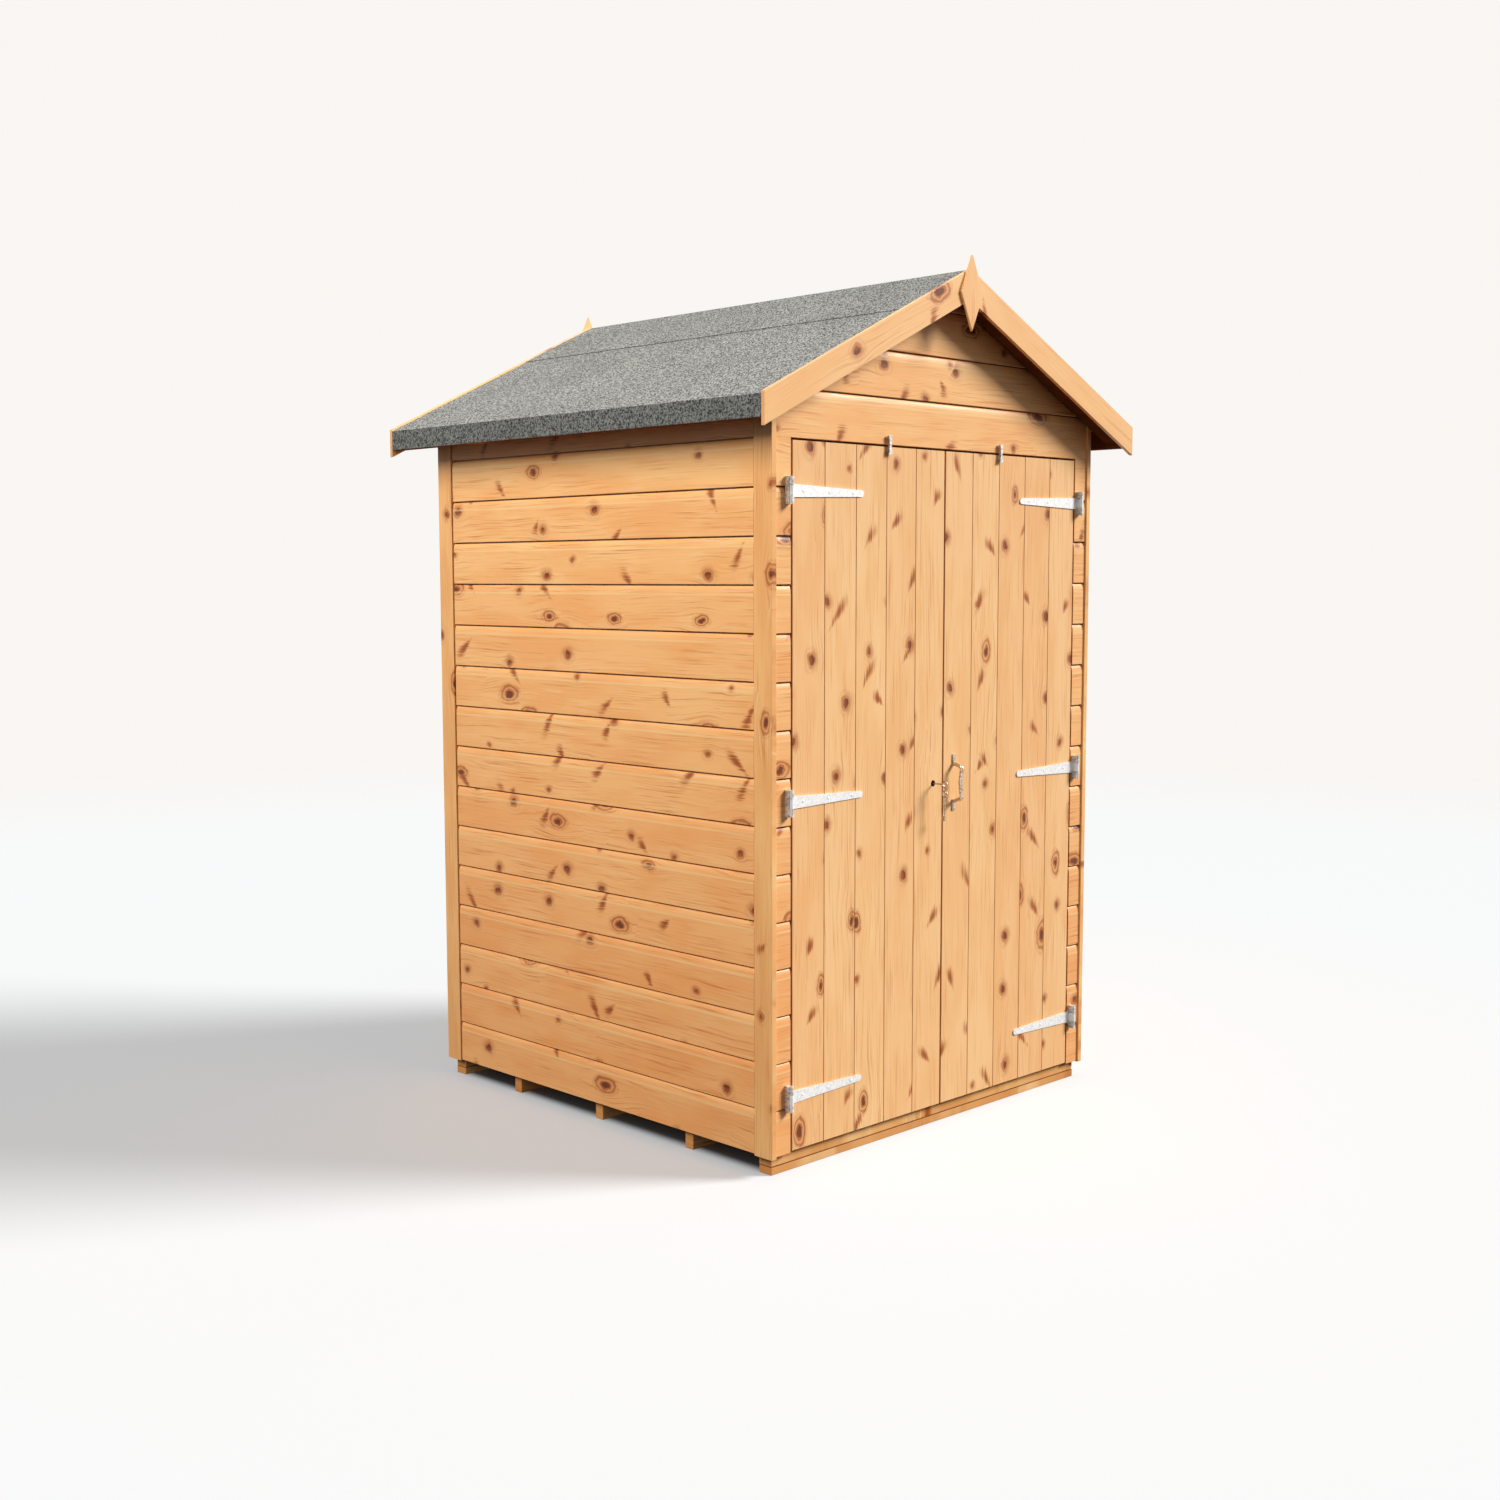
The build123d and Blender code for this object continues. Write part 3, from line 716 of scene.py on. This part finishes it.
def board_levels(low, high):
    """Lower and upper edges of the boards between two heights, on the wall's common lines."""
    lines = [low]
    while lines[-1] < high:
        step = math.floor((lines[-1] - BASE) / BOARD_PITCH + THIN_BOARD) + 1
        lines.append(min(BASE + step * BOARD_PITCH, high))
    return list(zip(lines[:-1], lines[1:]))


def shiplap_wall(name, node, low, high, start_of, end_of, place):
    """One wall's boards from its foot to its top, a little uneven in depth, with painted shade darker towards
    the foot and painted light paler upward.
    """
    timber = Timber()
    levels = board_levels(low, high)
    for i, (z_low, z_high) in enumerate(levels):
        outline = shiplap_outline(z_low, z_high, i == 0, i == len(levels) - 1)
        nudge = dice.uniform(-DEPTH_JITTER, 0)
        # Painted shade and light: each board's tone rises with its height, darker at the wall's foot and
        # paler at its top
        share = (z_low - BASE) / (gable_high.z - BASE)
        tint = SHADED_FOOT_TONE + (LIT_TOP_TONE - SHADED_FOOT_TONE) * share + dice.uniform(-TONE_SPREAD, TONE_SPREAD)
        # Height of the edge that takes the painted highlight
        arris_highlight = z_high - SLOT_HEIGHT - COVE_HEIGHT
        sweep_board(
            timber, outline, start_of, end_of, lambda a, d, h: place(a, d - nudge, h),
            COVE_DEPTH, arris_highlight, min(max(tint, 0.0), 1.0),
        )
    new_object(name, recalculated(timber.mesh(name)), WALL_PINE, "shed", [node])


def straight(value):
    """A board end that is the same at every height."""
    return lambda height: value


def slope_end(side, limit):
    """Where a gable board ends at a height: at the corner, or cut to the roof."""
    return lambda height: side * max(0.0, min(limit, (gable_high.z - height) / SLOPE))


def shiplap_walls():
    top = WALL_TOP - REBATE_SLACK
    shiplap_wall(
        "left_shiplap", "left_cladding", BASE, top,
        straight(left_low.y + END_GAP), straight(left_high.y - END_GAP),
        lambda a, d, h: Vector((left_low.x + d, a, h)),
    )
    shiplap_wall(
        "right_shiplap", "right_cladding", BASE, top,
        straight(right_low.y + END_GAP), straight(right_high.y - END_GAP),
        lambda a, d, h: Vector((right_high.x - d, a, h)),
    )
    shiplap_wall(
        "back_shiplap", "back_cladding", BASE, back_high.z - TONGUE,
        slope_end(-1, back_high.x), slope_end(1, back_high.x),
        lambda a, d, h: Vector((a, back_high.y - d, h)),
    )
    shiplap_wall(
        "front_gable_shiplap", "front_gable_cladding", gable_low.z, gable_high.z - TONGUE,
        slope_end(-1, gable_high.x), slope_end(1, gable_high.x),
        lambda a, d, h: Vector((a, gable_low.y + d, h)),
    )
    for name, node, low, high in (
        ("front_left_shiplap", "front_left_cladding", strip_low, strip_high),
        ("front_right_shiplap", "front_right_cladding", right_strip_low, right_strip_high),
    ):
        shiplap_wall(
            name, node, low.z, high.z, straight(low.x), straight(high.x),
            lambda a, d, h: Vector((a, strip_low.y + d, h)),
        )


# Doors

def board_section(x_low, x_high, y_front, y_back):
    """Plan outline of a door board with a vee at each front edge."""
    return [
        (x_low + GROOVE, y_front), (x_high - GROOVE, y_front), (x_high, y_front + GROOVE),
        (x_high, y_back), (x_low, y_back), (x_low, y_front + GROOVE),
    ]


def in_vee(section):
    """1 for the outline points at the foot of a vee, which take painted shade, and 0 for the others."""
    y_front, y_back = section[0][1], section[3][1]
    return [1.0 if y_front < y < y_back else 0.0 for _, y in section]


def upright_board(timber, section, z_low, z_high):
    """A plain board standing on end."""
    count = len(section)
    points = [Vector((x, y, z)) for z in (z_low, z_high) for x, y in section]
    grain = [(p.z, p.x, p.y) for p in points]
    timber.board(points, prism_faces(count), grain, {count, count + 1}, in_vee(section) * 2)


def bored_board(timber, section, z_low, z_high, hole_x, hole_z):
    """A door board with a round hole through its thickness."""
    y_front, y_back = section[0][1], section[3][1]
    turn = [2 * math.pi * i / HOLE_SIDES for i in range(HOLE_SIDES)]
    circle = [(hole_x + HOLE_RADIUS * math.cos(t), hole_z + HOLE_RADIUS * math.sin(t)) for t in turn]
    count = len(section)
    points = [Vector((x, y, z)) for z in (z_low, z_high) for x, y in section]
    faces = prism_faces(count, open_sides=(0, 3))
    ends = {len(faces) - 2, len(faces) - 1}
    rims = []
    for y, corners in ((y_front, (0, 1, count + 1, count)), (y_back, (3, 4, count + 4, count + 3))):
        start = len(points)
        points += [Vector((x, y, z)) for x, z in circle]
        outer = [Vector((points[i].x, points[i].z, 0)) for i in corners]
        inner = [Vector((x, z, 0)) for x, z in circle]
        index = list(corners) + list(range(start, start + HOLE_SIDES))
        faces += [[index[i] for i in tri] for tri in tessellate_polygon([outer, inner])]
        rims.append(start)
    for i in range(HOLE_SIDES):
        j = (i + 1) % HOLE_SIDES
        faces.append([rims[0] + i, rims[0] + j, rims[1] + j, rims[1] + i])
    joint_shade = in_vee(section) * 2
    joint_shade += [0.0] * (len(points) - len(joint_shade))
    timber.board(points, faces, [(p.z, p.x, p.y) for p in points], ends, joint_shade)


def door_boards(side):
    """A door's upright boards, with the keyhole through one of the left door's."""
    node = f"{side}_door_panel"
    low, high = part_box(node)
    hole_x, hole_z = key_place()
    width = (high.x - low.x) / DOOR_BOARDS
    timber = Timber()
    for i in range(DOOR_BOARDS):
        x_low = low.x + i * width + BOARD_GAP / 2
        x_high = low.x + (i + 1) * width - BOARD_GAP / 2
        section = board_section(x_low, x_high, low.y, high.y)
        if side == "left" and x_low < hole_x < x_high:
            bored_board(timber, section, low.z, high.z, hole_x, hole_z)
        else:
            upright_board(timber, section, low.z, high.z)
    mesh = recalculated(timber.mesh(f"{side}_door_boards"))
    new_object(f"{side}_door_boards", mesh, DOOR_PINE, f"{side}_door", [node])


def key_place():
    """Where the key enters the door: its x and z."""
    low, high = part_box("key")
    return (low.x + high.x) / 2, (low.z + high.z) / 2


# Floor and roof boards

def floor_boards():
    """Boards that run across the shed, side by side from front to back."""
    low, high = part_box("floor")
    timber = Timber()
    count = round((high.y - low.y) / FLOOR_BOARD)
    width = (high.y - low.y) / count
    for i in range(count):
        y_low = low.y + i * width + INNER_GAP / 2
        y_high = low.y + (i + 1) * width - INNER_GAP / 2
        outline = [(low.z, y_low), (low.z, y_high), (high.z, y_high), (high.z, y_low)]
        sweep_board(timber, outline, straight(low.x), straight(high.x), lambda a, z, y: Vector((a, y, z)))
    mesh = recalculated(timber.mesh("floor_boards"))
    new_object("floor_boards", mesh, SAWN_PINE, "shed", ["floor"])


def roof_boards(side, sign):
    """Boards that run from gable to gable, edge to edge up one slope."""
    node = f"{side}_roof_panel"
    low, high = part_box(node)
    reach = max(abs(low.x), abs(high.x))
    ridge_top = high.z
    under_eave = low.z
    rise = reach * SLOPE
    thick = ridge_top - rise - under_eave
    timber = Timber()
    gap = INNER_GAP / reach / 2
    for i in range(ROOF_BOARDS):
        near = i / ROOF_BOARDS + gap
        far = (i + 1) / ROOF_BOARDS - gap
        corners = [
            (under_eave + rise * (1 - share) + lift, sign * share * reach)
            for share, lift in ((near, 0), (far, 0), (far, thick), (near, thick))
        ]
        sweep_board(timber, corners, straight(low.y), straight(high.y), lambda a, z, x: Vector((x, a, z)))
    name = f"{side}_roof_boards"
    new_object(name, recalculated(timber.mesh(name)), SAWN_PINE, "shed", [node])


# Hardware

def dome(points, faces, centre, outward, radius, height, rings=3, sides=14):
    """Add a shallow rounded head to a mesh's points and faces."""
    side = outward.orthogonal().normalized()
    up = outward.cross(side)
    start = len(points)
    for r in range(rings):
        share = math.cos(math.pi / 2 * r / rings)
        lift = height * math.sin(math.pi / 2 * r / rings)
        for i in range(sides):
            t = 2 * math.pi * i / sides
            points.append(centre + (side * math.cos(t) + up * math.sin(t)) * radius * share + outward * lift)
    points.append(centre + outward * height)
    for r in range(rings - 1):
        for i in range(sides):
            j = (i + 1) % sides
            a, b = start + r * sides, start + (r + 1) * sides
            faces.append([a + i, a + j, b + j, b + i])
    top = start + (rings - 1) * sides
    faces += [[top + i, top + (i + 1) % sides, start + rings * sides] for i in range(sides)]
    faces.append([start + i for i in range(sides)][::-1])


def heads(name, places, outward, radius, height, paint, body):
    """Many small rounded heads as one mesh."""
    points, faces = [], []
    for place in places:
        dome(points, faces, place, outward, radius, height)
    mesh = bpy.data.meshes.new(name)
    mesh.from_pydata([tuple(p) for p in points], [], faces)
    mesh.shade_smooth()
    new_object(name, recalculated(mesh), paint, body)


def strap_levels(side):
    """Heights of the three hinges, from the solids of the straps."""
    heights = sorted(v.co.z for v in nodes[f"{side}_hinge_straps"].data.vertices)
    clusters = [[heights[0]]]
    for z in heights[1:]:
        if z - clusters[-1][-1] > HINGE_SPACE:
            clusters.append([])
        clusters[-1].append(z)
    return [(c[0] + c[-1]) / 2 for c in clusters]


def hinge_screws(side, sign):
    """Three screw heads on each strap of a door."""
    low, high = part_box(f"{side}_hinge_straps")
    door_low, door_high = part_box(f"{side}_door_panel")
    inner = min(abs(low.x), abs(high.x))
    outer = max(abs(door_low.x), abs(door_high.x))
    face = max(v.co.y for v in nodes[f"{side}_hinge_straps"].data.vertices) - STRAP_THICK
    places = [
        Vector((sign * (inner + (outer - inner) * share), face, z))
        for z in strap_levels(side) for share in SCREW_SHARES
    ]
    heads(
        f"{side}_strap_screws", places, Vector((0, -1, 0)), SCREW_RADIUS, SCREW_HEIGHT,
        ZINC, f"{side}_door",
    )


def keep(node, paint):
    """A CAD node that shows as it is, with a finished material."""
    mesh = nodes[node].data
    mesh.materials.clear()
    mesh.materials.append(paint)


# Build the object

shiplap_walls()
for side, sign in (("left", -1), ("right", 1)):
    door_boards(side)
    roof_boards(side, sign)
    hinge_screws(side, sign)
    dress(f"{side}_door_ledges", f"{side}_ledges", SAWN_PINE, SAWN_EDGE)
    dress(f"{side}_door_braces", f"{side}_braces", SAWN_PINE, SAWN_EDGE)
    keep(f"{side}_hinge_plates", SHADED_ZINC)
    keep(f"{side}_hinge_straps", ZINC)
    keep(f"{side}_turn_button", SHADED_ZINC)
    dress(f"{side}_felt", f"{side}_roofing", FELT, FELT_EDGE)
dress("ridge_felt", "ridge_roofing", FELT, RIDGE_EDGE)
floor_boards()

for end_name in ("front", "back"):
    dress(f"{end_name}_corner_strips", f"{end_name}_corner_trim", STRIP_PINE, PLANED_EDGE)
    dress(f"{end_name}_bargeboards", f"{end_name}_barges", TRIM_PINE, PLANED_EDGE)
    dress(f"{end_name}_finial", f"{end_name}_diamond", TRIM_PINE, PLANED_EDGE, (0, 0, 1))
    dress(f"{end_name}_rafters", f"{end_name}_rafter_pair", SAWN_PINE, SAWN_EDGE)

for node in (
    "side_bottom_rails", "side_top_rails", "side_studs", "door_posts", "back_posts", "door_head_rail",
    "back_rails", "back_stud",
):
    dress(node, f"{node}_timber", SAWN_PINE, SAWN_EDGE)
# Eave and verge battens take the dark timber as painted shade
for node in ("eave_battens", "verge_battens"):
    dress(node, f"{node}_timber", SHADED_SOFFIT_PINE, SAWN_EDGE)
# Painted shade in a line where the packers sit on the bearers
packer_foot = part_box("floor_packers")[0].z
for node in ("floor_bearers", "floor_packers"):
    dress(node, f"{node}_timber", SAWN_PINE, BEARER_EDGE, joint_height=packer_foot)

keep("door_handle", PLATED)
for node in ("key", "key_ring", "spare_key"):
    keep(node, KEY_STEEL)
keep("door_lock", BLACK)


# Stage, light and camera

BACKDROP = (0.950, 0.925, 0.895, 1.0)
FLOOR_COLOUR = (0.575, 0.590, 0.605, 1.0)
FLOOR_GLOW = (0.395, 0.402, 0.408, 1.0)
SKY_COLOUR = (1.0, 0.985, 0.965, 1.0)
SKY_LIGHT = 0.25
SKY_EDGE = (-0.5, 0.2)

# Half the floor's width, where it melts into the backdrop, and where its glow is taken away under the shed as
# painted shade
FLOOR_HALF = 12.0
FLOOR_NEAR, FLOOR_FAR = 5.0, 9.0
SHADE_UNDER_IN, SHADE_UNDER_OUT = 35 * MM, 12 * MM

KEY_STRENGTH = 4.25
KEY_SPREAD = math.radians(22)
KEY_COLOUR = (1.0, 0.98, 0.95)
KEY_FROM = Vector((1.17, -1.0, 0.93))
FILL_POWER = 345
FILL_SIZE = 3.4
FILL_COLOUR = (1.0, 0.96, 0.90)
FILL_PLACE = Vector((-5.2, 0.3, 4.8))
FILL_AIM = Vector((-0.6, 0.0, 1.2))

# Camera in millimetres of film, metres and degrees
SENSOR_WIDTH = 36.0
LENS = 43.005
CAMERA_PLACE = Vector((-3.465, -3.47615, 1.3828))
YAW, PITCH, ROLL = 44.580, 5.514, -0.095


def seen_share(graph):
    """1 for rays from the camera, a mirror or glass, and 0 for the rays that carry light."""
    path = graph.add("LightPath")
    seen = graph.math("MAXIMUM", path.outputs["Is Camera Ray"], path.outputs["Is Glossy Ray"])
    return graph.math("MAXIMUM", seen, path.outputs["Is Transmission Ray"])


def stage():
    """A plain pale floor that takes the object's shadow and melts into the backdrop away from it, with
    painted shade under the shed where its glow is taken away.
    """
    mesh = bpy.data.meshes.new("studio_floor")
    corners = [(x * FLOOR_HALF, y * FLOOR_HALF, 0) for x, y in ((-1, -1), (1, -1), (1, 1), (-1, 1))]
    mesh.from_pydata(corners, [], [(0, 1, 2, 3)])
    floor = linked("studio_floor", mesh)
    made, g = material("studio_floor")
    place = g.add("TexCoord").outputs["Object"]
    share = g.ramp(g.length(place), FLOOR_NEAR, FLOOR_FAR)
    diffuse = g.add("BsdfDiffuse", Color=FLOOR_COLOUR)
    # Painted shade: the glow fades out under the shed's footprint
    low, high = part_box("floor_bearers")
    x, y, _ = g.parts(place)
    centre = (low + high) / 2
    beyond_x = g.math("SUBTRACT", g.math("ABSOLUTE", g.math("SUBTRACT", x, centre.x)), high.x - centre.x)
    beyond_y = g.math("SUBTRACT", g.math("ABSOLUTE", g.math("SUBTRACT", y, centre.y)), high.y - centre.y)
    beyond = g.math("MAXIMUM", beyond_x, beyond_y)
    unshaded_share = g.ramp(beyond, -SHADE_UNDER_IN, SHADE_UNDER_OUT)
    glow = g.add("Emission", Color=FLOOR_GLOW, Strength=g.math("MULTIPLY", seen_share(g), unshaded_share))
    both = g.add("AddShader")
    g.tree.links.new(diffuse.outputs[0], both.inputs[0])
    g.tree.links.new(glow.outputs[0], both.inputs[1])
    clear = g.add("BsdfTransparent")
    blend = g.add("MixShader", Fac=share)
    g.tree.links.new(both.outputs[0], blend.inputs[1])
    g.tree.links.new(clear.outputs[0], blend.inputs[2])
    out = g.add("OutputMaterial")
    g.tree.links.new(blend.outputs[0], out.inputs["Surface"])
    mesh.materials.append(made)
    floor.visible_diffuse = False
    return floor


def world():
    """Soft light from above, behind a plain pale backdrop."""
    made = bpy.data.worlds.new("studio")
    bpy.context.scene.world = made
    made.use_nodes = True
    g = Graph(made.node_tree)
    _, _, upward = g.parts(g.add("TexCoord").outputs["Generated"])
    sky = g.ramp(upward, *SKY_EDGE, 0.0, SKY_LIGHT)
    light = g.add("Background", Color=SKY_COLOUR, Strength=sky)
    shown = g.add("Background", Color=BACKDROP, Strength=1.0)
    blend = g.add("MixShader", Fac=seen_share(g))
    g.tree.links.new(light.outputs[0], blend.inputs[1])
    g.tree.links.new(shown.outputs[0], blend.inputs[2])
    out = g.add("OutputWorld")
    g.tree.links.new(blend.outputs[0], out.inputs["Surface"])


def key_light():
    """A broad light from the front right."""
    data = bpy.data.lights.new("key_light", "SUN")
    data.energy = KEY_STRENGTH
    data.angle = KEY_SPREAD
    data.color = KEY_COLOUR
    lamp = linked("key_light", data)
    lamp.rotation_euler = KEY_FROM.to_track_quat("Z", "Y").to_euler()


def fill_light(floor):
    """A softbox high on the left that lights the object and not the floor."""
    data = bpy.data.lights.new("fill_light", "AREA")
    data.shape = "SQUARE"
    data.size = FILL_SIZE
    data.energy = FILL_POWER
    data.color = FILL_COLOUR
    lamp = linked("fill_light", data)
    lamp.location = FILL_PLACE
    lamp.rotation_euler = (FILL_AIM - FILL_PLACE).to_track_quat("-Z", "Y").to_euler()
    unlit = bpy.data.collections.new("not_lit_by_fill")
    unlit.objects.link(floor)
    unlit.collection_objects[0].light_linking.link_state = "EXCLUDE"
    lamp.light_linking.receiver_collection = unlit


def camera():
    """The photograph's viewpoint: yaw from +Y towards +X, and pitch downward."""
    data = bpy.data.cameras.new("camera")
    data.sensor_width = SENSOR_WIDTH
    data.lens = LENS
    made = linked("camera", data)
    yaw, pitch, roll = (math.radians(a) for a in (YAW, PITCH, ROLL))
    look = Vector((math.sin(yaw) * math.cos(pitch), math.cos(yaw) * math.cos(pitch), -math.sin(pitch)))
    right = Vector((math.cos(yaw), -math.sin(yaw), 0))
    up = right.cross(look)
    turned = right * math.cos(roll) + up * math.sin(roll)
    up = up * math.cos(roll) - right * math.sin(roll)
    axes = Matrix((turned, up, -look)).transposed()
    made.matrix_world = Matrix.Translation(CAMERA_PLACE) @ axes.to_4x4()
    bpy.context.scene.camera = made


studio_floor = stage()
world()
key_light()
fill_light(studio_floor)
camera()
bpy.context.scene.view_settings.view_transform = "Standard"
